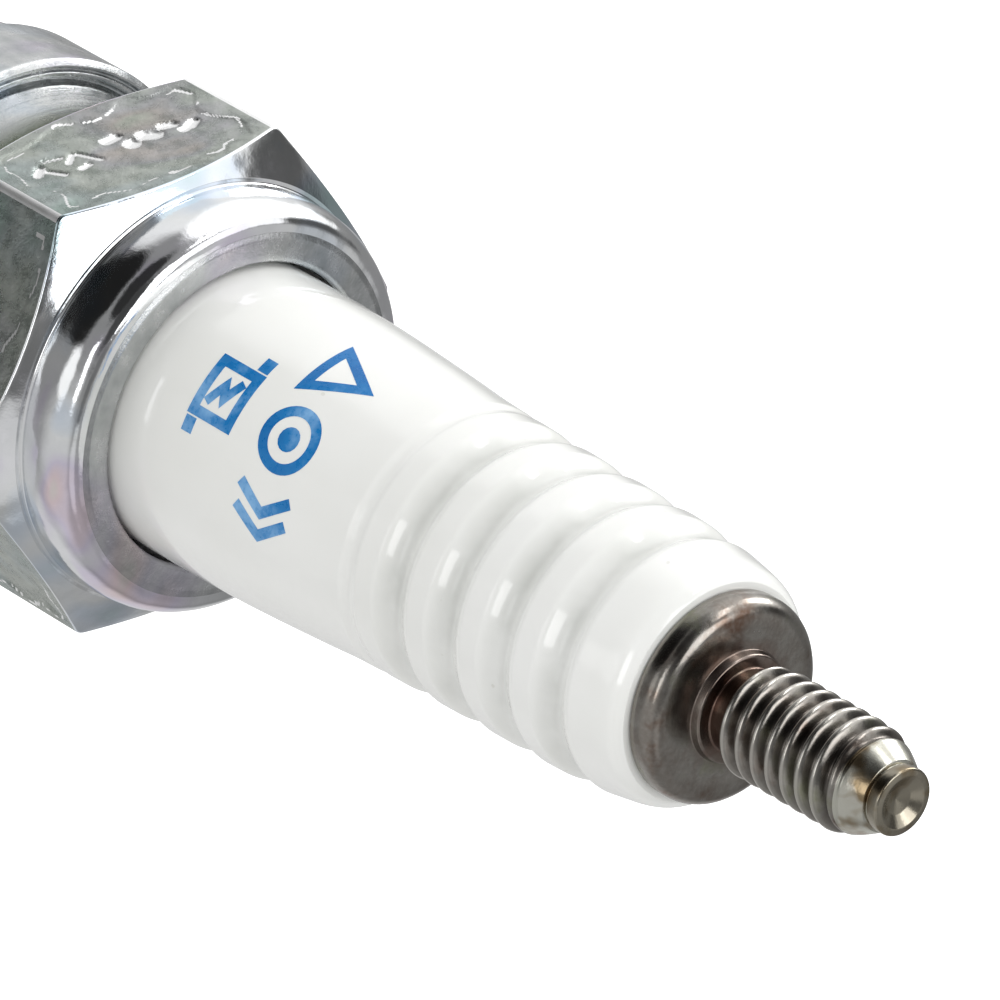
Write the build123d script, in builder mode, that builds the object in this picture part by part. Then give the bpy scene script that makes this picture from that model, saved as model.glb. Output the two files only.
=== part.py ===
from build123d import *
import math
import os

# Spark plug, M10 x 1 thread, 16 mm hexagon, fixed M4 terminal stud.
# Millimetres. +Z runs along the plug's axis towards the terminal.
# The origin is the centre of the shell's seat plane, where the gasket is pressed.

# ---- Shell: thread, seat collar, neck, hexagon and crimp ----
THREAD_DIAMETER = 10.0
THREAD_PITCH = 1.0
REACH = 19.0
THREAD_END_CHAMFER = 0.6
THREAD_START_ANGLE = 143
THREAD_GROOVE_BOTTOM = -19.75
THREAD_GROOVE_TOP = -1.93
THREAD_RUNOUT = 0.4
RELIEF_DIAMETER = 8.6
RELIEF_LENGTH = 2.6
COLLAR_RADIUS = 8.2
COLLAR_HEIGHT = 3.8
COLLAR_EDGE = 0.3
NECK_EDGE_RADIUS = 7.4
NECK_RADIUS = 7.0
HEX_ACROSS_FLATS = 16.0
HEX_BOTTOM = 7.0
HEX_TOP = 13.45
HEX_FACE_RADIUS = 7.6
HEX_CORNER_FILLET = 0.3
HEX_CHAMFER_SLOPE = 0.577
HEX_CUT_MARGIN = 1.0
CRIMP_ROOT_RADIUS = 7.41
CRIMP_MID_RADIUS = 7.22
CRIMP_EDGE_RADIUS = 6.69
CRIMP_ROOT_OVERLAP = 1.0
CRIMP_WALL_HEIGHT = 0.75
CRIMP_MID_DROP = 0.6
CRIMP_EDGE_DROP = 0.06
LIP_RADIUS = 5.42
LIP_TOP = 15.7

# ---- 60 degree thread form, as shares of the pitch ----
THREAD_DEPTH_SHARE = 0.6134
ROOT_HALF_WIDTH_SHARE = 0.0835
CREST_HALF_WIDTH_SHARE = 0.4375
CUTTER_CLEARANCE_SHARE = 0.1
FLANK_SLOPE = 0.5774

# ---- Shell bore, from the firing end upwards ----
NOSE_BORE_RADIUS = 3.45
LEDGE_RADIUS = 2.9
LEDGE_BOTTOM = -9.9
LEDGE_TOP = -9.3
LEDGE_SLOPE_HEIGHT = 0.55
STEM_BORE_RADIUS = 3.5
STEM_BORE_TOP = 0.8
MAIN_BORE_RADIUS = 6.2
MAIN_BORE_BOTTOM = 2.6
CRIMP_CEILING = 14.8
BORE_OVERRUN = 1.0

# ---- Insulator ----
NOSE_TIP_Z = -20.5
NOSE_TIP_RADIUS = 1.95
NOSE_TIP_CHAMFER = 0.3
NOSE_ROOT_RADIUS = 2.5
STEM_RADIUS = 3.4
STEM_TOP = 1.15
BODY_RADIUS = 6.1
BODY_BOTTOM = 3.0
SHOULDER_Z = 9.5
SHOULDER_CHAMFER = 0.2
HEAD_RADIUS = 5.27
HEAD_EDGE = (3.85, 39.4)
HEAD_END_RADIUS = 3.7
HEAD_TOP = 39.5
HEAD_WAIST = [(5.2, 19.9), (5.0, 23.5), (4.83, 26.0), (4.7, 31.0), (4.55, 36.6), (4.33, 38.3)]
HEAD_START_TANGENT = (-0.01, 1)
HEAD_END_TANGENT = (-1, 0.45)
SEAT_PACKING_THICKNESS = 0.3
BORE_RADIUS = 1.55
ELECTRODE_BORE_RADIUS = 1.15
BORE_STEP_Z = -7.6
BORE_STEP_HEIGHT = 0.4
RIB_COUNT = 4
RIB_PITCH = 2.53
FIRST_RIB_GROOVE_Z = 29.1
RIB_GROOVE_DEPTH = 0.36
RIB_GROOVE_HALF_WIDTH = 0.64
FINE_GROOVE_Z = 27.05
FINE_GROOVE_RADIUS = 4.88
FINE_GROOVE_DEPTH = 0.14
FINE_GROOVE_HALF_WIDTH = 0.34
BARREL_TAPER = 0.012
BARREL_RADIUS = 4.72
BARREL_MIDDLE_Z = 31.5

# ---- Parts packed inside ----
PACKING_WIRE_RADIUS = 0.44
TALC_BOTTOM = 10.38
TALC_TOP = 13.92
ELECTRODE_RADIUS = 1.1
ELECTRODE_TIP_Z = -21.9
ELECTRODE_HEAD_RADIUS = 1.45
ELECTRODE_HEAD_TOP = -5.9
ELECTRODE_HEAD_SLOPE_HEIGHT = 0.3
CORE_RADIUS = 0.6
CORE_BOTTOM = -18.5
RESISTOR_BOTTOM = -3.0
RESISTOR_TOP = 4.0
UPPER_SEAL_TOP = 9.0

# ---- Terminal stud ----
STEM_END_Z = 6.0
STEM_ROD_RADIUS = 1.4
FLANGE_TOP = 40.6
FLANGE_RADIUS = 3.6
FLANGE_BOTTOM_CHAMFER = 0.15
FLANGE_ROUND_HEIGHT = 0.4
FLANGE_ROUND_WIDTH = 0.3
FLANGE_ROUND_MID_INSET = 0.1
FLANGE_ROUND_MID_DROP = 0.12
BASE_RING_RADIUS = 1.94
BASE_RING_HEIGHT = 0.35
BASE_RING_CHAMFER = 0.1
UNDERCUT_RADIUS = 1.45
STUD_DIAMETER = 3.85
STUD_PITCH = 0.7
STUD_THREAD_BOTTOM = 41.5
STUD_THREAD_LEAD_IN = 0.25
STUD_GROOVE_BOTTOM = 41.34
STUD_GROOVE_TOP = 47.64
CONE_BOTTOM = 46.8
CONE_TOP = 47.9
CONE_TOP_RADIUS = 1.22
TIP_NECK_RADIUS = 1.0
TIP_NECK_SLOPE_HEIGHT = 0.06
TIP_RADIUS = 1.13
TIP_BOTTOM = 48.08
TIP_SLOPE_HALF_HEIGHT = 0.04
TIP_TOP = 48.45
TIP_CHAMFER = 0.1
DIMPLE_RADIUS = 0.75
DIMPLE_DEPTH = 0.3

# ---- Ground electrode ----
SPARK_GAP = 0.8
STRAP_THICKNESS = 1.2
STRAP_WIDTH = 2.2
STRAP_BEND_RADIUS = 1.3
STRAP_REACH = 1.3
STRAP_CENTRE_RADIUS = 4.0
STRAP_CORNER_RADIUS = 0.25

# ---- Gasket: a ring folded from sheet steel ----
GASKET_INNER_RADIUS = 4.75
GASKET_FACE_INNER_RADIUS = 5.25
GASKET_OUTER_RADIUS = 7.75
GASKET_SHEET = 0.4
GASKET_HEIGHT = 1.9
GASKET_CLEARANCE = 0.15
GASKET_TOP_LEAF_SETBACK = 0.15

os.makedirs("parts", exist_ok=True)


def write(builder, name):
    """Label a finished piece and write it to its own file."""
    builder.part.label = name
    export_step(builder.part, f"parts/{name}.step")


def thread_groove(diameter, pitch, bottom, top):
    """A helical cutter with a 60 degree thread form, clear of the crest outside."""
    crest = diameter / 2
    clear = CUTTER_CLEARANCE_SHARE * pitch
    root = crest - THREAD_DEPTH_SHARE * pitch
    root_half_width = ROOT_HALF_WIDTH_SHARE * pitch
    crest_half_width = CREST_HALF_WIDTH_SHARE * pitch + clear * FLANK_SLOPE
    with BuildPart() as groove:
        with BuildLine() as path:
            Helix(pitch=pitch, height=top - bottom, radius=crest, center=(0, 0, bottom))
        start = Plane(origin=path.line @ 0, x_dir=(1, 0, 0), z_dir=path.line % 0)
        with BuildSketch(start):
            with BuildLine():
                Polyline(
                    (root - crest, -root_half_width),
                    (clear, -crest_half_width),
                    (clear, crest_half_width),
                    (root - crest, root_half_width),
                    close=True,
                )
            make_face()
        sweep(path=path.line, is_frenet=True)
    return Rot(0, 0, THREAD_START_ANGLE) * groove.part


# ---- Shell ----
thread_radius = THREAD_DIAMETER / 2
relief_radius = RELIEF_DIAMETER / 2
hex_corner_radius = HEX_ACROSS_FLATS / math.sqrt(3)
hex_outer_radius = hex_corner_radius + HEX_CUT_MARGIN
hex_chamfer_rise = (hex_outer_radius - HEX_FACE_RADIUS) * HEX_CHAMFER_SLOPE
neck_middle = (COLLAR_HEIGHT + HEX_BOTTOM) / 2
main_groove = thread_groove(THREAD_DIAMETER, THREAD_PITCH, THREAD_GROOVE_BOTTOM, THREAD_GROOVE_TOP)

with BuildPart() as shell:
    # hexagon, with both faces chamfered by one turned outline
    with BuildSketch(Plane.XY.offset(HEX_BOTTOM)):
        RegularPolygon(radius=HEX_ACROSS_FLATS / 2, side_count=6, major_radius=False)
    extrude(amount=HEX_TOP - HEX_BOTTOM)
    fillet(shell.edges().filter_by(Axis.Z), radius=HEX_CORNER_FILLET)
    with BuildSketch(Plane.XZ):
        with BuildLine():
            Polyline(
                (0, HEX_BOTTOM),
                (HEX_FACE_RADIUS, HEX_BOTTOM),
                (hex_outer_radius, HEX_BOTTOM + hex_chamfer_rise),
                (hex_outer_radius, HEX_TOP - hex_chamfer_rise),
                (HEX_FACE_RADIUS, HEX_TOP),
                (0, HEX_TOP),
                close=True,
            )
        make_face()
    revolve(axis=Axis.Z, mode=Mode.INTERSECT)
    # turned outside, from the firing end up to the crimped lip
    with BuildSketch(Plane.XZ):
        with BuildLine():
            Polyline(
                (0, -REACH),
                (thread_radius - THREAD_END_CHAMFER, -REACH),
                (thread_radius, -REACH + THREAD_END_CHAMFER),
                (thread_radius, -RELIEF_LENGTH - THREAD_RUNOUT),
                (relief_radius, -RELIEF_LENGTH),
                (relief_radius, 0),
                (COLLAR_RADIUS - COLLAR_EDGE, 0),
                (COLLAR_RADIUS, COLLAR_EDGE),
                (COLLAR_RADIUS, COLLAR_HEIGHT - COLLAR_EDGE),
            )
            RadiusArc(
                (COLLAR_RADIUS, COLLAR_HEIGHT - COLLAR_EDGE),
                (COLLAR_RADIUS - COLLAR_EDGE, COLLAR_HEIGHT),
                -COLLAR_EDGE,
            )
            Line((COLLAR_RADIUS - COLLAR_EDGE, COLLAR_HEIGHT), (NECK_EDGE_RADIUS, COLLAR_HEIGHT))
            ThreePointArc(
                (NECK_EDGE_RADIUS, COLLAR_HEIGHT),
                (NECK_RADIUS, neck_middle),
                (NECK_EDGE_RADIUS, HEX_BOTTOM),
            )
            Polyline(
                (NECK_EDGE_RADIUS, HEX_BOTTOM),
                (NECK_EDGE_RADIUS, HEX_TOP - CRIMP_ROOT_OVERLAP),
                (CRIMP_ROOT_RADIUS, HEX_TOP - CRIMP_ROOT_OVERLAP),
                (CRIMP_ROOT_RADIUS, HEX_TOP + CRIMP_WALL_HEIGHT),
            )
            ThreePointArc(
                (CRIMP_ROOT_RADIUS, HEX_TOP + CRIMP_WALL_HEIGHT),
                (CRIMP_MID_RADIUS, LIP_TOP - CRIMP_MID_DROP),
                (CRIMP_EDGE_RADIUS, LIP_TOP - CRIMP_EDGE_DROP),
            )
            Polyline(
                (CRIMP_EDGE_RADIUS, LIP_TOP - CRIMP_EDGE_DROP),
                (LIP_RADIUS, LIP_TOP),
                (0, LIP_TOP),
                (0, -REACH),
            )
        make_face()
    revolve(axis=Axis.Z)
    # stepped bore with the insulator ledge and the underside of the crimp
    with BuildSketch(Plane.XZ):
        with BuildLine():
            Polyline(
                (0, -REACH - BORE_OVERRUN),
                (NOSE_BORE_RADIUS, -REACH - BORE_OVERRUN),
                (NOSE_BORE_RADIUS, LEDGE_BOTTOM - LEDGE_SLOPE_HEIGHT),
                (LEDGE_RADIUS, LEDGE_BOTTOM),
                (LEDGE_RADIUS, LEDGE_TOP),
                (STEM_BORE_RADIUS, LEDGE_TOP + STEM_BORE_RADIUS - LEDGE_RADIUS),
                (STEM_BORE_RADIUS, STEM_BORE_TOP),
                (MAIN_BORE_RADIUS, MAIN_BORE_BOTTOM),
                (MAIN_BORE_RADIUS, CRIMP_CEILING),
                (LIP_RADIUS, CRIMP_CEILING),
                (LIP_RADIUS, LIP_TOP + BORE_OVERRUN),
                (0, LIP_TOP + BORE_OVERRUN),
                close=True,
            )
        make_face()
    revolve(axis=Axis.Z, mode=Mode.SUBTRACT)
    add(main_groove, mode=Mode.SUBTRACT)
write(shell, "shell")

# ---- Ground electrode: a strap welded to the shell's end and bent over the tip ----
strap_inner_z = ELECTRODE_TIP_Z - SPARK_GAP
strap_middle_z = strap_inner_z - STRAP_THICKNESS / 2
with BuildPart() as ground_electrode:
    with BuildLine() as strap_path:
        FilletPolyline(
            (STRAP_CENTRE_RADIUS, 0, -REACH),
            (STRAP_CENTRE_RADIUS, 0, strap_middle_z),
            (-STRAP_REACH, 0, strap_middle_z),
            radius=STRAP_BEND_RADIUS,
        )
    with BuildSketch(Plane(origin=strap_path.line @ 0, x_dir=(1, 0, 0), z_dir=(0, 0, -1))):
        RectangleRounded(STRAP_THICKNESS, STRAP_WIDTH, STRAP_CORNER_RADIUS)
    sweep(path=strap_path.line)
write(ground_electrode, "ground_electrode")

# ---- Gasket: three leaves joined by two rounded folds ----
leaf_gap = (GASKET_HEIGHT - 3 * GASKET_SHEET) / 2
leaf_step = GASKET_SHEET + leaf_gap
fold_radius = leaf_step / 2
low_leaf_z = -GASKET_CLEARANCE - GASKET_HEIGHT + GASKET_SHEET / 2
mid_leaf_z = low_leaf_z + leaf_step
top_leaf_z = mid_leaf_z + leaf_step
fold_inner = GASKET_INNER_RADIUS + GASKET_SHEET / 2 + fold_radius
fold_outer = GASKET_OUTER_RADIUS - GASKET_SHEET / 2 - fold_radius
top_leaf_edge = GASKET_OUTER_RADIUS - GASKET_TOP_LEAF_SETBACK
with BuildPart() as gasket:
    with BuildSketch(Plane.XZ):
        with BuildLine() as folded_sheet:
            Line((GASKET_FACE_INNER_RADIUS, low_leaf_z), (fold_outer, low_leaf_z))
            ThreePointArc(
                (fold_outer, low_leaf_z),
                (fold_outer + fold_radius, (low_leaf_z + mid_leaf_z) / 2),
                (fold_outer, mid_leaf_z),
            )
            Line((fold_outer, mid_leaf_z), (fold_inner, mid_leaf_z))
            ThreePointArc(
                (fold_inner, mid_leaf_z),
                (fold_inner - fold_radius, (mid_leaf_z + top_leaf_z) / 2),
                (fold_inner, top_leaf_z),
            )
            Line((fold_inner, top_leaf_z), (top_leaf_edge, top_leaf_z))
        trace(line_width=GASKET_SHEET)
    revolve(axis=Axis.Z)
write(gasket, "gasket")

# ---- Seat packing: a thin coned washer on the shell's inner ledge ----
packing_bottom = LEDGE_TOP
packing_top = LEDGE_TOP + SEAT_PACKING_THICKNESS
packing_rise = STEM_BORE_RADIUS - LEDGE_RADIUS
with BuildPart() as seat_packing:
    with BuildSketch(Plane.XZ):
        with BuildLine():
            Polyline(
                (LEDGE_RADIUS, packing_bottom),
                (STEM_BORE_RADIUS, packing_bottom + packing_rise),
                (STEM_BORE_RADIUS, packing_top + packing_rise),
                (LEDGE_RADIUS, packing_top),
                close=True,
            )
        make_face()
    revolve(axis=Axis.Z)
write(seat_packing, "seat_packing")

# ---- Wire packing rings and the talc pressed between them ----
ring_centre_radius = (HEAD_RADIUS + MAIN_BORE_RADIUS) / 2
ring_heights = {
    "lower_packing_ring": SHOULDER_Z + PACKING_WIRE_RADIUS,
    "upper_packing_ring": TALC_TOP + PACKING_WIRE_RADIUS,
}
for ring_name, ring_z in ring_heights.items():
    with BuildPart() as packing_ring:
        with BuildSketch(Plane.XZ):
            with Locations((ring_centre_radius, ring_z)):
                Circle(PACKING_WIRE_RADIUS)
        revolve(axis=Axis.Z)
    write(packing_ring, ring_name)

with BuildPart() as talc_fill:
    with BuildSketch(Plane.XY.offset(TALC_BOTTOM)):
        Circle(MAIN_BORE_RADIUS)
        Circle(HEAD_RADIUS, mode=Mode.SUBTRACT)
    extrude(amount=TALC_TOP - TALC_BOTTOM)
write(talc_fill, "talc_fill")

# ---- Insulator ----
rib_groove_heights = [FIRST_RIB_GROOVE_Z + i * RIB_PITCH for i in range(RIB_COUNT)]
with BuildPart() as insulator:
    with BuildSketch(Plane.XZ):
        with BuildLine():
            Polyline(
                (ELECTRODE_BORE_RADIUS, NOSE_TIP_Z),
                (NOSE_TIP_RADIUS - NOSE_TIP_CHAMFER, NOSE_TIP_Z),
                (NOSE_TIP_RADIUS, NOSE_TIP_Z + NOSE_TIP_CHAMFER),
                (NOSE_ROOT_RADIUS, packing_top - (LEDGE_RADIUS - NOSE_ROOT_RADIUS)),
                (STEM_RADIUS, packing_top + STEM_RADIUS - LEDGE_RADIUS),
                (STEM_RADIUS, STEM_TOP),
                (BODY_RADIUS, BODY_BOTTOM),
                (BODY_RADIUS, SHOULDER_Z - SHOULDER_CHAMFER),
                (BODY_RADIUS - SHOULDER_CHAMFER, SHOULDER_Z),
                (HEAD_RADIUS, SHOULDER_Z),
                (HEAD_RADIUS, LIP_TOP),
            )
            Spline(
                (HEAD_RADIUS, LIP_TOP),
                *HEAD_WAIST,
                HEAD_EDGE,
                tangents=(HEAD_START_TANGENT, HEAD_END_TANGENT),
            )
            Polyline(
                HEAD_EDGE,
                (HEAD_END_RADIUS, HEAD_TOP),
                (BORE_RADIUS, HEAD_TOP),
                (BORE_RADIUS, BORE_STEP_Z + BORE_STEP_HEIGHT),
                (ELECTRODE_BORE_RADIUS, BORE_STEP_Z),
                (ELECTRODE_BORE_RADIUS, NOSE_TIP_Z),
            )
        make_face()
    revolve(axis=Axis.Z)
    # anti-flashover grooves round the head
    with BuildSketch(Plane.XZ):
        for groove_z in rib_groove_heights:
            groove_centre_radius = BARREL_RADIUS + BARREL_TAPER * (BARREL_MIDDLE_Z - groove_z)
            with Locations((groove_centre_radius, groove_z)):
                Ellipse(RIB_GROOVE_DEPTH, RIB_GROOVE_HALF_WIDTH)
        with Locations((FINE_GROOVE_RADIUS, FINE_GROOVE_Z)):
            Ellipse(FINE_GROOVE_DEPTH, FINE_GROOVE_HALF_WIDTH)
    revolve(axis=Axis.Z, mode=Mode.SUBTRACT)
write(insulator, "insulator")

# ---- Centre electrode: nickel sheath round a copper core ----
with BuildPart() as copper_core:
    with BuildSketch(Plane.XY.offset(CORE_BOTTOM)):
        Circle(CORE_RADIUS)
    extrude(amount=ELECTRODE_HEAD_TOP - CORE_BOTTOM)
write(copper_core, "copper_core")

with BuildPart() as centre_electrode:
    with BuildSketch(Plane.XZ):
        with BuildLine():
            Polyline(
                (0, ELECTRODE_TIP_Z),
                (ELECTRODE_RADIUS, ELECTRODE_TIP_Z),
                (ELECTRODE_RADIUS, BORE_STEP_Z),
                (ELECTRODE_BORE_RADIUS, BORE_STEP_Z),
                (ELECTRODE_HEAD_RADIUS, BORE_STEP_Z + ELECTRODE_HEAD_SLOPE_HEIGHT),
                (ELECTRODE_HEAD_RADIUS, ELECTRODE_HEAD_TOP),
                (CORE_RADIUS, ELECTRODE_HEAD_TOP),
                (CORE_RADIUS, CORE_BOTTOM),
                (0, CORE_BOTTOM),
                close=True,
            )
        make_face()
    revolve(axis=Axis.Z)
write(centre_electrode, "centre_electrode")

# ---- Glass seals and resistor, fused in the bore ----
fused_spans = {
    "lower_glass_seal": (ELECTRODE_HEAD_TOP, RESISTOR_BOTTOM),
    "resistor": (RESISTOR_BOTTOM, RESISTOR_TOP),
}
for fused_name, (span_bottom, span_top) in fused_spans.items():
    with BuildPart() as fused_plug:
        with BuildSketch(Plane.XY.offset(span_bottom)):
            Circle(BORE_RADIUS)
        extrude(amount=span_top - span_bottom)
    write(fused_plug, fused_name)

with BuildPart() as upper_glass_seal:
    with BuildSketch(Plane.XY.offset(RESISTOR_TOP)):
        Circle(BORE_RADIUS)
    extrude(amount=UPPER_SEAL_TOP - RESISTOR_TOP)
    with BuildSketch(Plane.XY.offset(STEM_END_Z)):
        Circle(STEM_ROD_RADIUS)
    extrude(amount=UPPER_SEAL_TOP - STEM_END_Z, mode=Mode.SUBTRACT)
write(upper_glass_seal, "upper_glass_seal")

# ---- Terminal stud: stem, flange and M4 thread in one piece ----
stud_radius = STUD_DIAMETER / 2
dimple_sphere = (DIMPLE_RADIUS**2 + DIMPLE_DEPTH**2) / (2 * DIMPLE_DEPTH)
dimple_centre_z = TIP_TOP - DIMPLE_DEPTH + dimple_sphere
dimple_half_angle = math.degrees(math.asin(DIMPLE_RADIUS / dimple_sphere))
stud_groove = thread_groove(STUD_DIAMETER, STUD_PITCH, STUD_GROOVE_BOTTOM, STUD_GROOVE_TOP)
with BuildPart() as terminal_stud:
    with BuildSketch(Plane.XZ):
        with BuildLine():
            Polyline(
                (0, STEM_END_Z),
                (STEM_ROD_RADIUS, STEM_END_Z),
                (STEM_ROD_RADIUS, HEAD_TOP),
                (FLANGE_RADIUS - FLANGE_BOTTOM_CHAMFER, HEAD_TOP),
                (FLANGE_RADIUS, HEAD_TOP + FLANGE_BOTTOM_CHAMFER),
                (FLANGE_RADIUS, FLANGE_TOP - FLANGE_ROUND_HEIGHT),
            )
            ThreePointArc(
                (FLANGE_RADIUS, FLANGE_TOP - FLANGE_ROUND_HEIGHT),
                (FLANGE_RADIUS - FLANGE_ROUND_MID_INSET, FLANGE_TOP - FLANGE_ROUND_MID_DROP),
                (FLANGE_RADIUS - FLANGE_ROUND_WIDTH, FLANGE_TOP),
            )
            Polyline(
                (FLANGE_RADIUS - FLANGE_ROUND_WIDTH, FLANGE_TOP),
                (BASE_RING_RADIUS, FLANGE_TOP),
                (BASE_RING_RADIUS, FLANGE_TOP + BASE_RING_HEIGHT - BASE_RING_CHAMFER),
                (BASE_RING_RADIUS - BASE_RING_CHAMFER, FLANGE_TOP + BASE_RING_HEIGHT),
                (UNDERCUT_RADIUS, FLANGE_TOP + BASE_RING_HEIGHT),
                (UNDERCUT_RADIUS, STUD_THREAD_BOTTOM),
                (stud_radius, STUD_THREAD_BOTTOM + STUD_THREAD_LEAD_IN),
                (stud_radius, CONE_BOTTOM),
                (CONE_TOP_RADIUS, CONE_TOP),
                (TIP_NECK_RADIUS, CONE_TOP + TIP_NECK_SLOPE_HEIGHT),
                (TIP_NECK_RADIUS, TIP_BOTTOM - TIP_SLOPE_HALF_HEIGHT),
                (TIP_RADIUS, TIP_BOTTOM + TIP_SLOPE_HALF_HEIGHT),
                (TIP_RADIUS, TIP_TOP - TIP_CHAMFER),
                (TIP_RADIUS - TIP_CHAMFER, TIP_TOP),
                (DIMPLE_RADIUS, TIP_TOP),
            )
            CenterArc((0, dimple_centre_z), dimple_sphere, -90, dimple_half_angle)
            Line((0, TIP_TOP - DIMPLE_DEPTH), (0, STEM_END_Z))
        make_face()
    revolve(axis=Axis.Z)
    add(stud_groove, mode=Mode.SUBTRACT)
write(terminal_stud, "terminal_stud")
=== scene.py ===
import math

import bmesh
import bpy
from mathutils import Matrix, Vector, noise


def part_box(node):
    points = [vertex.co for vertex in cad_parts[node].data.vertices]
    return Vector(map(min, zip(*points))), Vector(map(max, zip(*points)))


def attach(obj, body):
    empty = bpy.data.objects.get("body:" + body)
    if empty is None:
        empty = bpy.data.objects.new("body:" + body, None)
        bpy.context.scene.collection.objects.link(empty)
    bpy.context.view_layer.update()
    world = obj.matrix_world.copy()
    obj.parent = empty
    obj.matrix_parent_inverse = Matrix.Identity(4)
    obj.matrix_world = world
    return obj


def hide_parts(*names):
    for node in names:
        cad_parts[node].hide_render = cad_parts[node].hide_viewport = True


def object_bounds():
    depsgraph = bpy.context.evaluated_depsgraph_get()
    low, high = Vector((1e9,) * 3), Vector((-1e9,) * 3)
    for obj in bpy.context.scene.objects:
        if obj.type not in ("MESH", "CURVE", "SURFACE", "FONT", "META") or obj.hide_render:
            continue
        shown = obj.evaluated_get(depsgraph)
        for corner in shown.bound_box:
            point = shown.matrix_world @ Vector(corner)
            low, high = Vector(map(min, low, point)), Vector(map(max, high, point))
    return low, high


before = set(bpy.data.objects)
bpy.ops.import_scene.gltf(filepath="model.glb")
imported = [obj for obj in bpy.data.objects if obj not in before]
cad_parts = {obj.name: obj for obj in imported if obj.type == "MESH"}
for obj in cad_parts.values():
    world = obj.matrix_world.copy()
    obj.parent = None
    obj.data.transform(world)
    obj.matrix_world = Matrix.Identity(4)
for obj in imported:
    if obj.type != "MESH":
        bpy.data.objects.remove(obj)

cad_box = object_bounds()
MM = 0.001
TAU = 2 * math.pi

# ---- Sizes in millimetres, with z from the seat plane as in the CAD part ----
stud_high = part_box("terminal_stud")[1]
shell_low, shell_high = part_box("shell")
TIP_TOP = stud_high.z / MM
TIP_ABOVE_FLANGE = 7.85
FLANGE_THICKNESS = 1.1
FLANGE_TOP = TIP_TOP - TIP_ABOVE_FLANGE
HEAD_TOP = FLANGE_TOP - FLANGE_THICKNESS
LIP_TOP = shell_high.z / MM
THREAD_END = shell_low.z / MM

# Terminal stud
STUD_CREST = 1.915
UNDERCUT_RADIUS = 1.42
THREAD_LOW, THREAD_HIGH = FLANGE_TOP + 0.9, FLANGE_TOP + 6.6
CONE_START = FLANGE_TOP + 5.75
CONE_END = TIP_TOP - 0.55
CONE_END_RADIUS = 1.24

# Shell
RELIEF_RADIUS = 4.3
RELIEF_END = -2.6
SHELL_BORE = 3.5
COLLAR_RADIUS = 8.2
COLLAR_TOP = 3.8
NECK_BOTTOM = 3.76
NECK_RADIUS = 7.36
NECK_HOLLOW = 0.42
CRIMP_BOTTOM = 14.35
CRIMP_HEIGHT = 1.27
CRIMP_INNER, CRIMP_WIDTH = 6.62, 0.79
LIP_RADIUS = 5.42
ARC_STEPS = 12

# Hexagon
HEX_APOTHEM = 8.0
HEX_CORNER_RADIUS = 0.4
HEX_BOTTOM = 7.0
HEX_TOP = 13.45
HEX_ROOT_RADIUS = 7.3
HEX_FACE_RADIUS = 7.6
HEX_RIM_RADIUS = 7.41
HEX_SLOPE = math.tan(math.radians(30))
FLAT_COLUMNS = 60
MARKED_FLAT = 3                       # in sixths of a turn from +X: the flat towards -150 degrees
MARKED_COLUMNS = 150
CORNER_COLUMNS = 6
FLAT_ROWS = 88

# Forged panel and punch marks on the flats
PANEL_MIDDLE = 10.2
PANEL_HALF_LENGTH, PANEL_HALF_HEIGHT = 3.75, 2.35
PANEL_WANDER = 0.6
PANEL_DEPTH = 0.05
PANEL_WALL = 0.06
FLAT_WAVE = 0.006
STAMP_DEPTH = 0.12

# Insulator head and its ribs
HEAD_BOTTOM = 15.7
HEAD_CURVE_TOP = 39.4
HEAD_STEP = 0.07
RIB_PITCH = 2.53
RIB_GROOVES = [29.1 + RIB_PITCH * index for index in range(4)]
RIB_DEPTH = 0.36
RIB_HALF_WIDTH = 0.88
GROOVE_SHARPNESS = 2.2
FINE_GROOVE = 27.05
FINE_GROOVE_HALF_WIDTH = 0.42
FINE_GROOVE_DEPTH = 0.09

# ---- Camera: long lens, three-quarter view from the terminal's side ----
FLANGE_FACE = Vector((0, 0, FLANGE_TOP * MM))
VIEW_ANGLE = math.radians(48.56)      # between the plug's axis and the line of sight
IMAGE_TILT = math.radians(29.88)      # of the axis below the horizontal in the picture
CAMERA_ROLL = math.radians(12.52)     # of the nearest hexagon corner past the camera
CAMERA_DISTANCE = 350 * MM
FLANGE_RIGHT = 7.482 * MM             # flange centre right of and below the line of sight
FLANGE_BELOW = 6.522 * MM
LENS_MM = 397.98


def camera_axes():
    """The picture's right, down and forward directions, in the object's frame."""
    along = Vector((math.cos(IMAGE_TILT), math.sin(IMAGE_TILT), 0))
    across = Vector((-math.sin(IMAGE_TILT), math.cos(IMAGE_TILT), 0))
    forward = Vector((0, 0, 1))
    axis = math.sin(VIEW_ANGLE) * along - math.cos(VIEW_ANGLE) * forward
    towards = -math.cos(VIEW_ANGLE) * along - math.sin(VIEW_ANGLE) * forward
    x_axis = math.cos(CAMERA_ROLL) * across - math.sin(CAMERA_ROLL) * towards
    y_axis = axis.cross(x_axis)
    return Matrix((x_axis, y_axis, axis))


def make_camera():
    to_object = camera_axes()
    offset = Vector((FLANGE_RIGHT, FLANGE_BELOW, CAMERA_DISTANCE))
    place = to_object @ (-offset) + FLANGE_FACE
    right = to_object @ Vector((1, 0, 0))
    up = to_object @ Vector((0, -1, 0))
    back = to_object @ Vector((0, 0, -1))
    data = bpy.data.cameras.new("camera")
    data.lens = LENS_MM
    data.sensor_width = 36
    data.clip_start, data.clip_end = 0.01, 5
    camera = bpy.data.objects.new("camera", data)
    turn = Matrix((right, up, back)).transposed().to_4x4()
    camera.matrix_world = Matrix.Translation(place) @ turn
    bpy.context.scene.collection.objects.link(camera)
    bpy.context.scene.camera = camera
    return right, up, back


RIGHT, UP, BACK = make_camera()
bpy.context.scene.view_settings.view_transform = "Standard"


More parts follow.
